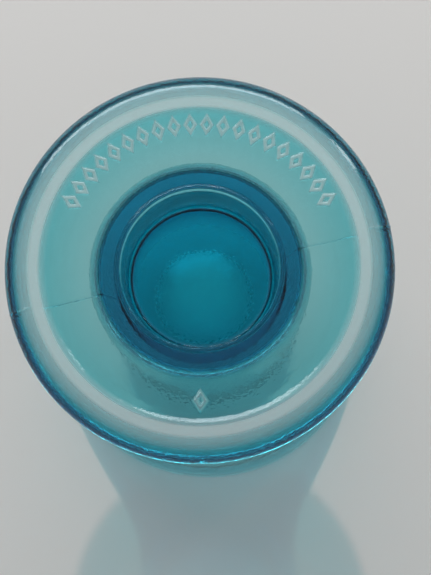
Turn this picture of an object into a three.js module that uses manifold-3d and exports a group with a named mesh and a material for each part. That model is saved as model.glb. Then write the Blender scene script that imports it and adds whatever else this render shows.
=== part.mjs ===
// Footed pressed-glass bowl on a short solid stem, standing on its drinking lip with the foot on top.
// Millimetres, +Z up, origin on the axis at the plane of the lip. Every outline below is written as
// [radius, depth], with depth measured down from the ground ring that the glass stands on in use.
import * as THREE from 'three';
import { mergeVertices } from 'three/addons/utils/BufferGeometryUtils.js';
import Module from 'manifold-3d';

const wasm = await Module();
wasm.setup();

// ---- driving dimensions ----
const HEIGHT = 114;
const FOOT_RADIUS = 38.9;
const FOOT_WIDEST_DEPTH = 4.2;
const FOOT_UNDERCUT_RADIUS = 34.9;
const FOOT_UNDERCUT_DEPTH = 9.2;
const REST_INNER_RADIUS = 31.4;
const REST_OUTER_RADIUS = 33.7;
const DISH_EDGE_RADIUS = 29.6;
const DISH_EDGE_DEPTH = 1.15;
const BEAD_RADIUS = 17;
const BEAD_DEPTH = 5.25;
const WELL_MOUTH_RADIUS = 16.1;
const WELL_MOUTH_DEPTH = 5;
const WELL_FLOOR_RADIUS = 15.2;
const WELL_FLOOR_DEPTH = 19.5;
const FILLET_RADIUS = 23.4;
const FILLET_DEPTH = 8.6;
const STEM_TOP_RADIUS = 20.8;
const STEM_TOP_DEPTH = 11.4;
const STEM_WAIST_RADIUS = 20.6;
const STEM_WAIST_DEPTH = 27;
const BOWL_FLOOR_DEPTH = 44;
const LIP_OUTER_RADIUS = 43.5;
const LIP_THICKNESS = 2.8;
const LIP_ROUND_STEPS = 7;

// where one section of glass ends and the next begins
const JOIN_GAP = 0.3;
const SLEEVE_JOIN_RADIUS = 19;
const SLEEVE_JOIN_DEPTH = WELL_FLOOR_DEPTH - JOIN_GAP / 2;
const BASE_JOIN_DEPTH = 37.5;
const WALL_JOIN_DEPTH = 60;
const LIP_JOIN_DEPTH = 106;

// raised marks pressed into the dished face of the foot
const MARK_COUNT = 20;
const MARK_ARC_START = 27;
const MARK_ARC_END = 153;
const MARK_LENGTH = 4.4;
const MARK_WIDTH = 2.9;
const MARK_LINE = 0.8;
const MARK_RAISE = 0.5;
const MARK_SINK = 0.45;
const MARK_RADIUS = 28.4;
const LONE_MARK_ANGLE = -90;
const LONE_MARK_RADIUS = 26.8;

const SEGMENTS = 60;
const EDGE_STEPS = 6;
const WALL_STEPS = 8;

// ---- outline of the whole glass; a curve's two middle points are its handles ----
const curve = (...points) => new THREE.CubicBezierCurve(...points.map(([r, d]) => new THREE.Vector2(r, d)));

const lipRadius = LIP_THICKNESS / 2;
const lipFlatReach = lipRadius * Math.cos(Math.PI / (2 * LIP_ROUND_STEPS));
const lipCentre = [LIP_OUTER_RADIUS - lipRadius, HEIGHT - lipFlatReach];
const lipInner = [lipCentre[0] - lipRadius, lipCentre[1]];
const lipOuter = [LIP_OUTER_RADIUS, lipCentre[1]];

const straight = (from, to) => new THREE.LineCurve(new THREE.Vector2(...from), new THREE.Vector2(...to));

const wellWall = straight([WELL_MOUTH_RADIUS, WELL_MOUTH_DEPTH], [WELL_FLOOR_RADIUS, WELL_FLOOR_DEPTH]);
const bead = curve([WELL_MOUTH_RADIUS, WELL_MOUTH_DEPTH], [16.2, 4.6], [16.8, 4.6], [BEAD_RADIUS, BEAD_DEPTH]);
const dish = straight([BEAD_RADIUS, BEAD_DEPTH], [DISH_EDGE_RADIUS, DISH_EDGE_DEPTH]);
const dishRise = straight([DISH_EDGE_RADIUS, DISH_EDGE_DEPTH], [REST_INNER_RADIUS, 0]);
const footShoulder = curve([REST_OUTER_RADIUS, 0], [36.3, 0], [FOOT_RADIUS, 2], [FOOT_RADIUS, FOOT_WIDEST_DEPTH]);
const footUndercut = curve(
  [FOOT_RADIUS, FOOT_WIDEST_DEPTH], [FOOT_RADIUS, 6.4], [37, 8.6], [FOOT_UNDERCUT_RADIUS, FOOT_UNDERCUT_DEPTH],
);
const footBack = straight([FOOT_UNDERCUT_RADIUS, FOOT_UNDERCUT_DEPTH], [FILLET_RADIUS, FILLET_DEPTH]);
const fillet = curve(
  [FILLET_RADIUS, FILLET_DEPTH], [21.9, FILLET_DEPTH], [STEM_TOP_RADIUS, 9.7], [STEM_TOP_RADIUS, STEM_TOP_DEPTH],
);
const stem = straight([STEM_TOP_RADIUS, STEM_TOP_DEPTH], [STEM_WAIST_RADIUS, STEM_WAIST_DEPTH]);
const bowlOutside = curve([STEM_WAIST_RADIUS, STEM_WAIST_DEPTH], [20.8, 53], [39, 84], lipOuter);
const bowlInside = curve(lipInner, [37, 84], [16, BOWL_FLOOR_DEPTH], [0, BOWL_FLOOR_DEPTH]);

// The curve parameter where the radius ('x') or the depth ('y') reaches a value; it must be monotonic.
function parameterAt(path, key, value) {
  const rising = path.getPoint(1)[key] > path.getPoint(0)[key];
  let low = 0;
  let high = 1;
  for (let step = 0; step < 50; step += 1) {
    const middle = (low + high) / 2;
    if ((path.getPoint(middle)[key] < value) === rising) low = middle;
    else high = middle;
  }
  return (low + high) / 2;
}

// Points along a curve from one parameter to another, both ends included.
function along(path, from, to, steps) {
  return Array.from({ length: steps + 1 }, (_, i) => path.getPoint(from + ((to - from) * i) / steps).toArray());
}

const atRadius = (path, radius) => parameterAt(path, 'x', radius);
const atDepth = (path, depth) => parameterAt(path, 'y', depth);

// ---- solids ----
// Revolves a closed outline of [radius, depth] points. Outlines run clockwise on a section drawn with
// the axis on the left and the ground ring at the top.
function revolve(outline) {
  const points = outline.map(([radius, depth]) => new THREE.Vector2(radius, HEIGHT - depth));
  const closes = points[0].x < 1e-6 && points[points.length - 1].x < 1e-6;
  if (!closes) points.push(points[0].clone());
  points.reverse();
  const geometry = new THREE.LatheGeometry(points, SEGMENTS);
  geometry.rotateX(Math.PI / 2);
  return geometry;
}

function toManifold(geometry) {
  const bare = geometry.clone();
  bare.deleteAttribute('normal');
  bare.deleteAttribute('uv');
  const merged = mergeVertices(bare, 1e-4);
  const corners = merged.index.array;
  const triVerts = [];
  for (let i = 0; i < corners.length; i += 3) {
    const [a, b, c] = [corners[i], corners[i + 1], corners[i + 2]];
    if (a !== b && b !== c && c !== a) triVerts.push(a, b, c);
  }
  const vertProperties = new Float32Array(merged.attributes.position.array);
  return new wasm.Manifold(new wasm.Mesh({ numProp: 3, vertProperties, triVerts: new Uint32Array(triVerts) }));
}

function fromManifold(solid) {
  const mesh = solid.getMesh();
  const geometry = new THREE.BufferGeometry();
  geometry.setAttribute('position', new THREE.BufferAttribute(new Float32Array(mesh.vertProperties), 3));
  geometry.setIndex(new THREE.BufferAttribute(new Uint32Array(mesh.triVerts), 1));
  geometry.computeVertexNormals();
  return geometry;
}

// A lozenge-shaped path with its long diagonal along X.
function lozenge(path, halfLength, halfWidth) {
  path.moveTo(halfLength, 0);
  path.lineTo(0, halfWidth);
  path.lineTo(-halfLength, 0);
  path.lineTo(0, -halfWidth);
  path.closePath();
  return path;
}

// The depth of the dished face at a radius outside the bead.
function dishDepth(radius) {
  const path = radius < DISH_EDGE_RADIUS ? dish : dishRise;
  return path.getPoint(atRadius(path, radius)).y;
}

// A raised lozenge outline, standing on the dish with its long diagonal pointing at the axis.
function mark(angleDegrees, radius) {
  const slant = Math.hypot(MARK_LENGTH, MARK_WIDTH);
  const inset = (MARK_LINE * slant) / 2;
  const shape = lozenge(new THREE.Shape(), MARK_LENGTH / 2, MARK_WIDTH / 2);
  const innerHalfLength = MARK_LENGTH / 2 - (2 * inset) / MARK_WIDTH;
  const innerHalfWidth = MARK_WIDTH / 2 - (2 * inset) / MARK_LENGTH;
  shape.holes.push(lozenge(new THREE.Path(), innerHalfLength, innerHalfWidth));
  const geometry = new THREE.ExtrudeGeometry(shape, { depth: MARK_RAISE + MARK_SINK, bevelEnabled: false });
  geometry.translate(0, 0, -MARK_SINK);
  const innerDepth = dishDepth(radius - MARK_LENGTH / 2);
  const outerDepth = dishDepth(radius + MARK_LENGTH / 2);
  geometry.rotateY(Math.atan2(outerDepth - innerDepth, MARK_LENGTH));
  geometry.translate(radius, 0, HEIGHT - (innerDepth + outerDepth) / 2);
  geometry.rotateZ(THREE.MathUtils.degToRad(angleDegrees));
  return geometry;
}

// ---- the sections of glass, from the foot down to the lip ----
function footEdge() {
  const inner = REST_OUTER_RADIUS + JOIN_GAP / 2;
  return revolve([
    ...along(footShoulder, atRadius(footShoulder, inner), 1, EDGE_STEPS),
    ...along(footUndercut, 0, 1, EDGE_STEPS).slice(1),
    ...along(footBack, 0, atRadius(footBack, inner), 1).slice(1),
  ]);
}

function restRing() {
  const inner = REST_INNER_RADIUS + JOIN_GAP / 2;
  const outer = REST_OUTER_RADIUS - JOIN_GAP / 2;
  return revolve([
    [inner, 0],
    [outer, 0],
    ...along(footBack, atRadius(footBack, outer), atRadius(footBack, inner), 1),
  ]);
}

function footPlate() {
  const inner = SLEEVE_JOIN_RADIUS + JOIN_GAP / 2;
  const outer = REST_INNER_RADIUS - JOIN_GAP / 2;
  const lowest = SLEEVE_JOIN_DEPTH - JOIN_GAP / 2;
  const plate = toManifold(revolve([
    ...along(dish, atRadius(dish, inner), 1, 1),
    ...along(dishRise, 0, atRadius(dishRise, outer), 1).slice(1),
    ...along(footBack, atRadius(footBack, outer), 1, 1),
    ...along(fillet, 0, 1, EDGE_STEPS).slice(1),
    ...along(stem, 0, atDepth(stem, lowest), 1).slice(1),
    [inner, lowest],
  ]));
  const angles = Array.from({ length: MARK_COUNT }, (_, i) => (
    MARK_ARC_START + ((MARK_ARC_END - MARK_ARC_START) * i) / (MARK_COUNT - 1)
  ));
  const marks = [
    ...angles.map((angle) => mark(angle, MARK_RADIUS)),
    mark(LONE_MARK_ANGLE, LONE_MARK_RADIUS),
  ];
  return fromManifold(marks.reduce((solid, piece) => solid.add(toManifold(piece)), plate));
}

function wellSleeve() {
  const outer = SLEEVE_JOIN_RADIUS - JOIN_GAP / 2;
  const lowest = SLEEVE_JOIN_DEPTH - JOIN_GAP / 2;
  return revolve([
    ...along(bead, 0, 1, EDGE_STEPS),
    ...along(dish, 0, atRadius(dish, outer), 1).slice(1),
    [outer, lowest],
    ...along(wellWall, atDepth(wellWall, lowest), 0, 1).slice(0, -1),
  ]);
}

function stemCore() {
  const highest = SLEEVE_JOIN_DEPTH + JOIN_GAP / 2;
  const lowest = BASE_JOIN_DEPTH - JOIN_GAP / 2;
  return revolve([
    [0, highest],
    ...along(stem, atDepth(stem, highest), 1, 1),
    ...along(bowlOutside, 0, atDepth(bowlOutside, lowest), EDGE_STEPS).slice(1),
    [0, lowest],
  ]);
}

function bowlBase() {
  const highest = BASE_JOIN_DEPTH + JOIN_GAP / 2;
  const lowest = WALL_JOIN_DEPTH - JOIN_GAP / 2;
  return revolve([
    [0, highest],
    ...along(bowlOutside, atDepth(bowlOutside, highest), atDepth(bowlOutside, lowest), EDGE_STEPS),
    ...along(bowlInside, atDepth(bowlInside, lowest), 1, WALL_STEPS),
  ]);
}

function bowlWall() {
  const highest = WALL_JOIN_DEPTH + JOIN_GAP / 2;
  const lowest = LIP_JOIN_DEPTH - JOIN_GAP / 2;
  return revolve([
    ...along(bowlOutside, atDepth(bowlOutside, highest), atDepth(bowlOutside, lowest), WALL_STEPS),
    ...along(bowlInside, atDepth(bowlInside, lowest), atDepth(bowlInside, highest), WALL_STEPS),
  ]);
}

function lip() {
  const highest = LIP_JOIN_DEPTH + JOIN_GAP / 2;
  const round = Array.from({ length: LIP_ROUND_STEPS + 1 }, (_, i) => {
    const angle = (Math.PI * i) / LIP_ROUND_STEPS;
    return [lipCentre[0] + lipRadius * Math.cos(angle), lipCentre[1] + lipRadius * Math.sin(angle)];
  });
  return revolve([
    ...along(bowlOutside, atDepth(bowlOutside, highest), 1, 2).slice(0, -1),
    ...round,
    ...along(bowlInside, 0, atDepth(bowlInside, highest), 2).slice(1),
  ]);
}

const CLEAR_TURQUOISE = { color: 0x4fb4be, roughness: 0.04, metalness: 0 };
const DEEP_TURQUOISE = { color: 0x1498ab, roughness: 0.04, metalness: 0 };
const GROUND_TURQUOISE = { color: 0xa5bdbd, roughness: 0.5, metalness: 0 };

const sections = [
  ['foot_edge', footEdge, CLEAR_TURQUOISE],
  ['rest_ring', restRing, GROUND_TURQUOISE],
  ['foot_plate', footPlate, CLEAR_TURQUOISE],
  ['well_sleeve', wellSleeve, CLEAR_TURQUOISE],
  ['stem_core', stemCore, DEEP_TURQUOISE],
  ['bowl_base', bowlBase, DEEP_TURQUOISE],
  ['bowl_wall', bowlWall, CLEAR_TURQUOISE],
  ['lip', lip, CLEAR_TURQUOISE],
];

const glass = new THREE.Group();
for (const [name, build, look] of sections) {
  const section = new THREE.Mesh(build(), new THREE.MeshStandardMaterial(look));
  section.name = name;
  glass.add(section);
}

export default glass;
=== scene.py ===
"""Footed pressed-glass bowl, standing on its lip, as one clear turquoise body of glass on a pale floor."""
import math

import bpy
import numpy as np
from mathutils import Matrix, Vector

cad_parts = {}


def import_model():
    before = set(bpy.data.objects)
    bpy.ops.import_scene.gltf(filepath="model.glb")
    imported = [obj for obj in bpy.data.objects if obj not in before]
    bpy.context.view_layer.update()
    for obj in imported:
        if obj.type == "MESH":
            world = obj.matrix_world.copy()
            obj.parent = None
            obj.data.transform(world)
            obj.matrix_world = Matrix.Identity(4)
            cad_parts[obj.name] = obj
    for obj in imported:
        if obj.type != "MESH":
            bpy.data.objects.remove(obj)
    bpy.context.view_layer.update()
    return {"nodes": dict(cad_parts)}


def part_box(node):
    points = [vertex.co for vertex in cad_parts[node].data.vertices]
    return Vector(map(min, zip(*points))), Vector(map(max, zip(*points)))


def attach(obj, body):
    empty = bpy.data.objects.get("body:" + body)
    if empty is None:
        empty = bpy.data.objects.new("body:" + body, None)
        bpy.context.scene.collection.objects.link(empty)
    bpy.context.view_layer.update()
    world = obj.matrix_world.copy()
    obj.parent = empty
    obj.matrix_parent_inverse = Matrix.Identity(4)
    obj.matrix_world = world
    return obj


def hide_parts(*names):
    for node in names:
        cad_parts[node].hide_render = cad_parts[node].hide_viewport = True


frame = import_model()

MM = 0.001

# ---- sizes read from the frame, in millimetres ----
JOIN_GAP = 0.3
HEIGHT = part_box("rest_ring")[1][2] / MM
FOOT_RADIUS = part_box("foot_edge")[1][0] / MM
LIP_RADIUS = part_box("lip")[1][0] / MM
REST_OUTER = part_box("rest_ring")[1][0] / MM + JOIN_GAP / 2
REST_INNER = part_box("foot_plate")[1][0] / MM + JOIN_GAP / 2
WELL_FLOOR_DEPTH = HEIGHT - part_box("stem_core")[1][2] / MM

# ---- the rest of the outline, as (radius, depth below the ground ring) ----
WELL_FLOOR = (15.2, WELL_FLOOR_DEPTH)
WELL_MOUTH = (16.1, 5.0)
BEAD_FOOT = (17.0, 5.25)
DISH_EDGE = (29.6, 1.15)
FOOT_WIDEST = (FOOT_RADIUS, 4.2)
FOOT_UNDERCUT = (34.9, 9.2)
FILLET_START = (23.4, 8.6)
STEM_TOP = (20.8, 11.4)
STEM_WAIST = (20.6, 27.0)
BOWL_FLOOR = (0.0, 44.0)
LIP_HALF_THICKNESS = 1.4
LIP_CENTRE = (LIP_RADIUS - LIP_HALF_THICKNESS, HEIGHT - LIP_HALF_THICKNESS)

# ---- raised marks and mould seams ----
MARK_COUNT = 20
MARK_ARC = (27.0, 153.0)
MARK_LENGTH = 4.4
MARK_WIDTH = 2.9
MARK_LINE = 0.8
MARK_RAISE = 0.5
MARK_SLOPE = 0.22
MARK_WEAR = 0.8
LONE_MARK_WEAR = 0.25
BELOW_RING = 0.9    # raised work keeps below this share of its depth, so it never passes the ground ring
MARK_RADIUS = 28.4
LONE_MARK = (-90.0, 26.8)
SEAM_ANGLES = (11.5, 194.0)
SEAM_WIDTH = 0.24
SEAM_RAISE = 0.16
SEAM_BESIDE = (-0.9, -0.55, -0.3, -0.15, 0, 0.15, 0.3, 0.55, 0.9)


def bezier(p0, p1, p2, p3):
    """A cubic curve through (radius, depth) points, as a function of an array of parameters."""
    corners = np.array([p0, p1, p2, p3], float)

    def at(t):
        t = np.asarray(t, float)[..., None]
        s = 1 - t
        return s**3 * corners[0] + 3 * s * s * t * corners[1] + 3 * s * t * t * corners[2] + t**3 * corners[3]

    return at


def line(start, end):
    start, end = np.array(start, float), np.array(end, float)
    return lambda t: start + np.asarray(t, float)[..., None] * (end - start)


def half_turn(centre, radius):
    """The lip's round, from its outer side to its inner side."""
    def at(t):
        angle = np.pi * np.asarray(t, float)
        return np.stack([centre[0] + radius * np.cos(angle), centre[1] + radius * np.sin(angle)], axis=-1)

    return at


lip_outer = (LIP_RADIUS, LIP_CENTRE[1])
lip_inner = (LIP_CENTRE[0] - LIP_HALF_THICKNESS, LIP_CENTRE[1])

# Each stretch of the section, clockwise from the axis in the well round to the axis inside the bowl:
# (name, curve, how far the corner at its start is rounded, spacing of its points).
STRETCHES = [
    ("well_floor", line((0, WELL_FLOOR_DEPTH), WELL_FLOOR), 0, 1.2),
    ("well_wall", line(WELL_FLOOR, WELL_MOUTH), 1.2, 0.8),
    ("bead", bezier(WELL_MOUTH, (16.2, 4.6), (16.8, 4.6), BEAD_FOOT), 0, 0.12),
    ("dish", line(BEAD_FOOT, DISH_EDGE), 0.25, 0.8),
    ("dish_rise", line(DISH_EDGE, (REST_INNER, 0)), 0.9, 0.14),
    ("ground_ring", line((REST_INNER, 0), (REST_OUTER, 0)), 0.6, 0.3),
    ("shoulder", bezier((REST_OUTER, 0), (36.3, 0), (FOOT_RADIUS, 2.0), FOOT_WIDEST), 0, 0.35),
    ("undercut", bezier(FOOT_WIDEST, (FOOT_RADIUS, 6.4), (37.0, 8.6), FOOT_UNDERCUT), 0, 0.35),
    ("foot_back", line(FOOT_UNDERCUT, FILLET_START), 0.8, 0.9),
    ("fillet", bezier(FILLET_START, (21.9, 8.6), (20.8, 9.7), STEM_TOP), 0, 0.25),
    ("stem", line(STEM_TOP, STEM_WAIST), 0, 1.5),
    ("bowl_outside", bezier(STEM_WAIST, (20.8, 53), (39, 84), lip_outer), 0, 2.0),
    ("lip", half_turn(LIP_CENTRE, LIP_HALF_THICKNESS), 0, 0.4),
    ("bowl_inside", bezier(lip_inner, (37, 84), (16, BOWL_FLOOR[1]), BOWL_FLOOR), 0, 1.6),
]
SEAMED = ("shoulder", "undercut", "foot_back", "fillet", "stem", "bowl_outside")
FACE = ("dish", "dish_rise", "ground_ring")

# The ground ring's wear against radius, running out over the flank inside it, and painted sheen over the
# shoulder outside it.
WORN_AND_SHEENED = ("marked", "dish_rise", "ground_ring", "shoulder")
WEAR_AND_SHEEN = ((30.2, 31.4, 31.9, 33.4, 34.0, 35.6, 36.7), (0.0, 0.4, 1.0, 1.0, 0.6, 0.45, 0.0))
LONE_HALF_ANGLE = math.radians(15)

# Slight blur of the pressed surfaces against radius, on the stretches that have it.
SMEAR = {
    "bowl_inside": ((14, 24), (1, 0)),
    "bowl_outside": ((24, 34), (0.4, 0)),
    "stem": ((20, 21), (0.4, 0.4)),
}

# The part of the face that carries marks is cut finely, under the name "marked".
MARK_REACH = 0.55 * MARK_LENGTH
MARKED_BAND = (LONE_MARK[1] - MARK_REACH, MARK_RADIUS + MARK_REACH)
BAND_SPACING = 0.17
CURVE_SAMPLES = 2001
CORNER_STEPS = 8
ON_AXIS = 1e-6


def arc_lengths(curve):
    fine = curve(np.linspace(0, 1, CURVE_SAMPLES))
    return np.concatenate([[0], np.cumsum(np.linalg.norm(np.diff(fine, axis=0), axis=1))])


def outline():
    """The closed section as (radius, depth) points, with the name of each point's stretch."""
    points, names = [], []
    for k, (name, curve, rounding, spacing) in enumerate(STRETCHES):
        run = arc_lengths(curve)
        leave = STRETCHES[k + 1][2] if k + 1 < len(STRETCHES) else 0
        start, end = np.interp([rounding, run[-1] - leave], run, np.linspace(0, 1, len(run)))
        steps = max(1, math.ceil((run[-1] - leave - rounding) / spacing))
        part = curve(np.linspace(start, end, steps + 1))
        if rounding:
            t = np.linspace(0, 1, CORNER_STEPS)[1:-1, None]
            corner = curve(0.0)
            part = np.vstack([(1 - t) ** 2 * points[-1] + 2 * t * (1 - t) * corner + t * t * part[0], part])
        elif points:
            part = part[1:]
        points.extend(part)
        names.extend([name] * len(part))
    return with_marked_band(np.array(points), np.array(names))


def with_marked_band(points, names):
    """The section with the points of its marked band put in evenly."""
    low, high = MARKED_BAND
    radius = points[:, 0]
    face = np.isin(names, FACE)
    first = np.flatnonzero(face & (radius >= low))[0]
    before = np.arange(len(points)) < first
    after = ~before & ~(face & (radius <= high))
    radii = np.arange(low, high, BAND_SPACING)
    depths = np.interp(radii, radius[face], points[face, 1])
    points = np.vstack([points[before], np.stack([radii, depths], axis=1), points[after]])
    return points, names[before].tolist() + ["marked"] * len(radii) + names[after].tolist()


def lozenge_line(along, across):
    """How much of a raised line there is at points of a lozenge's own frame, 0 to 1, with short slopes."""
    slant = math.hypot(MARK_LENGTH, MARK_WIDTH)
    inward = (1 - 2 * np.abs(along) / MARK_LENGTH - 2 * np.abs(across) / MARK_WIDTH)
    inward = inward * MARK_LENGTH * MARK_WIDTH / (2 * slant)
    into_line = MARK_LINE / 2 - np.abs(inward - MARK_LINE / 2)
    return np.clip(into_line / MARK_SLOPE + 0.5, 0, 1)


def turned_from(angles, degrees):
    return (angles - math.radians(degrees) + np.pi) % (2 * np.pi) - np.pi


def relief(angles, radius):
    """How far the dish is raised by its marks, in millimetres, at points of one ring."""
    row = [(a, MARK_RADIUS) for a in np.linspace(*MARK_ARC, MARK_COUNT)] + [LONE_MARK]
    lines = [lozenge_line(radius - middle, turned_from(angles, angle) * radius) for angle, middle in row]
    return np.max(lines, axis=0) * MARK_RAISE


def seam(angles, radius):
    """The fine ridge that the mould's two halves leave, in millimetres."""
    ridges = [
        np.exp(-((turned_from(angles, angle) * radius / (SEAM_WIDTH / 2)) ** 2)) for angle in SEAM_ANGLES
    ]
    return np.max(ridges, axis=0) * SEAM_RAISE


def ring_angles(count):
    """Evenly spaced angles with more beside each seam."""
    near = np.concatenate([np.radians(a + np.array(SEAM_BESIDE)) for a in SEAM_ANGLES])
    even = np.arange(count) * 2 * np.pi / count
    return np.unique(np.round(np.concatenate([even, near]), 6))


COARSE = ring_angles(200)
FINE = ring_angles(1000)


def bridge(upper, lower):
    """Faces between two rings, where one ring may hold more angles than the other or be a single point."""
    above, below = upper[1], lower[1]
    if len(above) == 1:
        return [(above[0], below[j], below[(j + 1) % len(below)]) for j in range(len(below))]
    if len(below) == 1:
        return [(above[j], below[0], above[(j + 1) % len(above)]) for j in range(len(above))]
    if len(above) == len(below):
        n = len(above)
        return [(above[j], below[j], below[(j + 1) % n], above[(j + 1) % n]) for j in range(n)]
    dense_above = len(above) > len(below)
    dense_angles, dense = upper if dense_above else lower
    sparse_angles, sparse = lower if dense_above else upper
    slots = {angle: i for i, angle in enumerate(dense_angles)}
    faces = []
    for j, angle in enumerate(sparse_angles):
        following = (j + 1) % len(sparse)
        count = (slots[sparse_angles[following]] - slots[angle]) % len(dense)
        run = [dense[(slots[angle] + i) % len(dense)] for i in range(count + 1)]
        middle = count // 2
        fan = [(sparse[j], run[i + 1], run[i]) for i in range(middle)]
        fan.append((sparse[j], sparse[following], run[middle]))
        fan += [(sparse[following], run[i + 1], run[i]) for i in range(middle, count)]
        faces.extend([face if dense_above else face[::-1] for face in fan])
    return faces


def glass_mesh():
    """The whole glass as one closed surface, turned round the axis, with its marks and seams raised."""
    section, names = outline()
    step = np.gradient(section, axis=0)
    out = np.stack([step[:, 1], -step[:, 0]], axis=1)
    out /= np.linalg.norm(out, axis=1, keepdims=True)
    vertices, ground, smeared, rings = [], [], [], []
    total = 0
    for (radius, depth), (out_r, out_d), name in zip(section, out, names):
        angles = np.zeros(1) if radius < ON_AXIS else FINE if name == "marked" else COARSE
        raised = np.zeros_like(angles)
        if name == "marked":
            raised = np.minimum(relief(angles, radius), depth * BELOW_RING)
        if name in SEAMED:
            raised = np.minimum(seam(angles, radius), depth * BELOW_RING)
        r = radius + out_r * raised
        z = HEIGHT - depth - out_d * raised
        vertices.append(np.stack([r * np.cos(angles), r * np.sin(angles), z], axis=1))
        # Ground-glass wear on the ring and marks; on the shoulder the same paler, rougher finish is a painted
        # reflection of the sky.
        wear_and_sheen = np.full(len(angles), np.interp(radius, *WEAR_AND_SHEEN) if name in WORN_AND_SHEENED else 0.0)
        if name == "marked":
            lone = np.abs(turned_from(angles, LONE_MARK[0])) < LONE_HALF_ANGLE
            wear_and_sheen = np.maximum(wear_and_sheen, raised / MARK_RAISE * np.where(lone, LONE_MARK_WEAR, MARK_WEAR))
        ground.append(wear_and_sheen)
        blur = np.interp(radius, *SMEAR[name]) if name in SMEAR else 0.0
        smeared.append(np.full(len(angles), blur))
        rings.append((angles.tolist(), range(total, total + len(angles))))
        total += len(angles)
    faces = [face for upper, lower in zip(rings, rings[1:]) for face in bridge(upper, lower)]
    mesh = bpy.data.meshes.new("glass_body")
    mesh.from_pydata((np.vstack(vertices) * MM).tolist(), [], faces)
    for label, values in (("ground", ground), ("smeared", smeared)):
        attribute = mesh.attributes.new(label, "FLOAT", "POINT")
        attribute.data.foreach_set("value", np.concatenate(values).astype(np.float32))
    mesh.polygons.foreach_set("use_smooth", [True] * len(mesh.polygons))
    mesh.update()
    return mesh


# ---- materials ----
GLASS_IOR = 1.5
GLASS_DENSITY = 178.0
GLASS_PASSED = (0.05, 0.865, 0.92, 1)
GLASS_TINT = (0.74, 0.81, 0.81, 1)
SHADOW_PASSED = (0.8, 0.78, 0.79, 1)
RIPPLE_SCALE, RIPPLE_DISTANCE = 140.0, 0.00004
PEEL_SCALE, PEEL_DISTANCE = 1500.0, 0.000024
ROUGHNESS = (0.015, 0.42)      # polished, ground
SMEAR_ROUGHNESS = (0.0, 0.3)   # added, where the surface is smeared
TRANSMISSION = (1.0, 0.42)     # polished, ground
FLOOR_COLOUR = (0.775, 0.757, 0.742, 1)
FLOOR_ROUGHNESS = 0.35


def nodes_of(material):
    material.use_nodes = True
    tree = material.node_tree
    tree.nodes.clear()
    return tree


def node(tree, kind, **inputs):
    made = tree.nodes.new(kind)
    for name, value in inputs.items():
        socket = made.inputs[name.replace("_", " ")]
        if isinstance(value, bpy.types.NodeSocket):
            tree.links.new(value, socket)
        else:
            socket.default_value = value
    return made


def spread(tree, value, low, high):
    """A 0-to-1 value stretched to run from low to high."""
    made = node(tree, "ShaderNodeMapRange", Value=value)
    made.inputs["To Min"].default_value = low
    made.inputs["To Max"].default_value = high
    return made.outputs["Result"]


def glass_material():
    material = bpy.data.materials.new("turquoise_glass")
    tree = nodes_of(material)
    place = node(tree, "ShaderNodeTexCoord").outputs["Object"]
    ripple = node(tree, "ShaderNodeTexNoise", Vector=place, Scale=RIPPLE_SCALE, Detail=1.0)
    peel = node(tree, "ShaderNodeTexNoise", Vector=place, Scale=PEEL_SCALE, Detail=1.0)
    wavy = node(tree, "ShaderNodeBump", Strength=1.0, Distance=RIPPLE_DISTANCE, Height=ripple.outputs["Fac"])
    peeled = node(
        tree, "ShaderNodeBump", Strength=1.0, Distance=PEEL_DISTANCE, Height=peel.outputs["Fac"],
        Normal=wavy.outputs["Normal"],
    )
    # The "ground" value makes the surface pale and rough: real grinding on the ring and marks, painted sky
    # sheen on the shoulder.
    ground = tree.nodes.new("ShaderNodeAttribute")
    ground.attribute_name = "ground"
    smeared = tree.nodes.new("ShaderNodeAttribute")
    smeared.attribute_name = "smeared"
    scuffed = spread(tree, ground.outputs["Fac"], *ROUGHNESS)
    blurred = spread(tree, smeared.outputs["Fac"], *SMEAR_ROUGHNESS)
    rough = node(tree, "ShaderNodeMath")
    tree.links.new(scuffed, rough.inputs[0])
    tree.links.new(blurred, rough.inputs[1])
    clear = spread(tree, ground.outputs["Fac"], *TRANSMISSION)
    surface = node(
        tree, "ShaderNodeBsdfPrincipled", Base_Color=GLASS_TINT, IOR=GLASS_IOR,
        Roughness=rough.outputs["Value"], Transmission_Weight=clear, Normal=peeled.outputs["Normal"],
    )
    volume = node(tree, "ShaderNodeVolumeAbsorption", Color=GLASS_PASSED, Density=GLASS_DENSITY)
    # Light on its way to the table passes straight through, so the glass casts a clear coloured shadow.
    cast = node(tree, "ShaderNodeBsdfTransparent", Color=SHADOW_PASSED)
    path = tree.nodes.new("ShaderNodeLightPath")
    lit = tree.nodes.new("ShaderNodeMixShader")
    tree.links.new(path.outputs["Is Shadow Ray"], lit.inputs[0])
    tree.links.new(surface.outputs["BSDF"], lit.inputs[1])
    tree.links.new(cast.outputs["BSDF"], lit.inputs[2])
    output = tree.nodes.new("ShaderNodeOutputMaterial")
    tree.links.new(lit.outputs["Shader"], output.inputs["Surface"])
    tree.links.new(volume.outputs["Volume"], output.inputs["Volume"])
    return material


def floor_material():
    material = bpy.data.materials.new("pale_floor")
    tree = nodes_of(material)
    surface = node(tree, "ShaderNodeBsdfPrincipled", Base_Color=FLOOR_COLOUR, Roughness=FLOOR_ROUGHNESS)
    output = tree.nodes.new("ShaderNodeOutputMaterial")
    tree.links.new(surface.outputs["BSDF"], output.inputs["Surface"])
    return material


# ---- camera ----
CAMERA_TARGET = Vector((3.15, -4.67, HEIGHT)) * MM
CAMERA_DISTANCE = 249.5 * MM
CAMERA_ELEVATION = 82.6
CAMERA_AZIMUTH = 3.5
CAMERA_ROLL = -4.0
CAMERA_LENS = 79.9
SENSOR_WIDTH = 36.0
NEAREST_SEEN = 0.01


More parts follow.
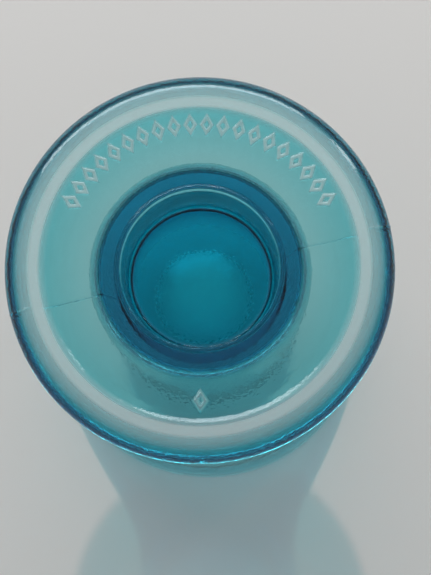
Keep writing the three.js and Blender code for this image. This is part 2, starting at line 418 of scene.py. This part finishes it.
def make_camera():
    data = bpy.data.cameras.new("camera")
    data.lens = CAMERA_LENS
    data.sensor_width = SENSOR_WIDTH
    data.clip_start = NEAREST_SEEN
    camera = bpy.data.objects.new("camera", data)
    bpy.context.scene.collection.objects.link(camera)
    azimuth, elevation = math.radians(CAMERA_AZIMUTH), math.radians(CAMERA_ELEVATION)
    away = Vector((
        math.sin(azimuth) * math.cos(elevation),
        -math.cos(azimuth) * math.cos(elevation),
        math.sin(elevation),
    ))
    camera.location = CAMERA_TARGET + away * CAMERA_DISTANCE
    turn = away.to_track_quat("Z", "Y").to_matrix() @ Matrix.Rotation(math.radians(CAMERA_ROLL), 3, "Z")
    camera.rotation_euler = turn.to_euler()
    bpy.context.scene.camera = camera


# ---- light ----
WINDOW_COLOUR = (0.92, 0.97, 1.0)
WINDOW_ELEVATION = (17, 29)
WINDOW_DISTANCE = 0.6
WINDOW_RADIANCE = 6.8
WINDOWS = {"window_large": (61, 142), "window_small": (39, 49)}
LAMP_COLOUR = (1.0, 0.96, 0.9)
# Sky colours against the height of the direction, 0 at the horizon and 1 overhead.
SKY = [
    (0.45, (0.37, 0.38, 0.40, 1)),
    (0.72, (0.255, 0.25, 0.245, 1)),
    (0.93, (0.255, 0.25, 0.245, 1)),
    (0.985, (0.08, 0.08, 0.08, 1)),
]


def window(name, azimuth_span, elevation_span, distance, radiance):
    """A soft rectangular light that fills a span of directions round the object, given in degrees."""
    middle = math.radians(sum(azimuth_span) / 2)
    width = 2 * distance * math.tan(math.radians(azimuth_span[1] - azimuth_span[0]) / 2)
    low, high = (distance * math.tan(math.radians(e)) for e in elevation_span)
    data = bpy.data.lights.new(name, "AREA")
    data.shape = "RECTANGLE"
    data.size, data.size_y = width, high - low
    data.energy = radiance * math.pi * width * (high - low)
    data.color = WINDOW_COLOUR
    made = bpy.data.objects.new(name, data)
    bpy.context.scene.collection.objects.link(made)
    made.location = (distance * math.cos(middle), distance * math.sin(middle), HEIGHT * MM + (low + high) / 2)
    outward = Vector((math.cos(middle), math.sin(middle), 0))
    made.rotation_euler = outward.to_track_quat("Z", "Y").to_euler()
    made.visible_camera = False


def lamp(azimuth, elevation, distance, size, irradiance):
    """A small round light far off, which casts the clear shadow; irradiance is on a face turned to it."""
    azimuth, elevation = math.radians(azimuth), math.radians(elevation)
    toward = Vector((
        math.cos(azimuth) * math.cos(elevation), math.sin(azimuth) * math.cos(elevation), math.sin(elevation),
    ))
    data = bpy.data.lights.new("lamp", "AREA")
    data.shape = "DISK"
    data.size = size
    data.color = LAMP_COLOUR
    data.energy = irradiance * math.pi * distance * distance
    made = bpy.data.objects.new("lamp", data)
    bpy.context.scene.collection.objects.link(made)
    made.location = toward * distance
    made.rotation_euler = toward.to_track_quat("Z", "Y").to_euler()
    made.visible_camera = False
    made.visible_glossy = False
    made.visible_transmission = False


def world():
    made = bpy.data.worlds.new("studio")
    bpy.context.scene.world = made
    made.use_nodes = True
    tree = made.node_tree
    tree.nodes.clear()
    direction = node(tree, "ShaderNodeTexCoord").outputs["Generated"]
    height = node(tree, "ShaderNodeSeparateXYZ", Vector=direction).outputs["Z"]
    ramp = node(tree, "ShaderNodeValToRGB", Fac=height)
    stops = ramp.color_ramp.elements
    stops[0].position, stops[0].color = SKY[0]
    stops[1].position, stops[1].color = SKY[-1]
    for position, color in SKY[1:-1]:
        stops.new(position).color = color
    background = node(tree, "ShaderNodeBackground", Color=ramp.outputs["Color"], Strength=1.0)
    output = tree.nodes.new("ShaderNodeOutputWorld")
    tree.links.new(background.outputs["Background"], output.inputs["Surface"])


make_camera()
world()
for name, span in WINDOWS.items():
    window(name, span, WINDOW_ELEVATION, WINDOW_DISTANCE, WINDOW_RADIANCE)
lamp(azimuth=92.0, elevation=55.4, distance=2.5, size=0.06, irradiance=0.84)

FLOOR_HALF = 4.0
floor_mesh = bpy.data.meshes.new("floor")
floor_mesh.from_pydata(
    [(x * FLOOR_HALF, y * FLOOR_HALF, 0) for x, y in ((-1, -1), (1, -1), (1, 1), (-1, 1))],
    [], [(0, 1, 2, 3)],
)
floor_mesh.materials.append(floor_material())
floor = bpy.data.objects.new("floor", floor_mesh)
bpy.context.scene.collection.objects.link(floor)

body = bpy.data.objects.new("glass_body", glass_mesh())
bpy.context.scene.collection.objects.link(body)
body.data.materials.append(glass_material())
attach(body, "root")
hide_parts(*frame["nodes"])

bpy.context.scene.view_settings.view_transform = "Standard"
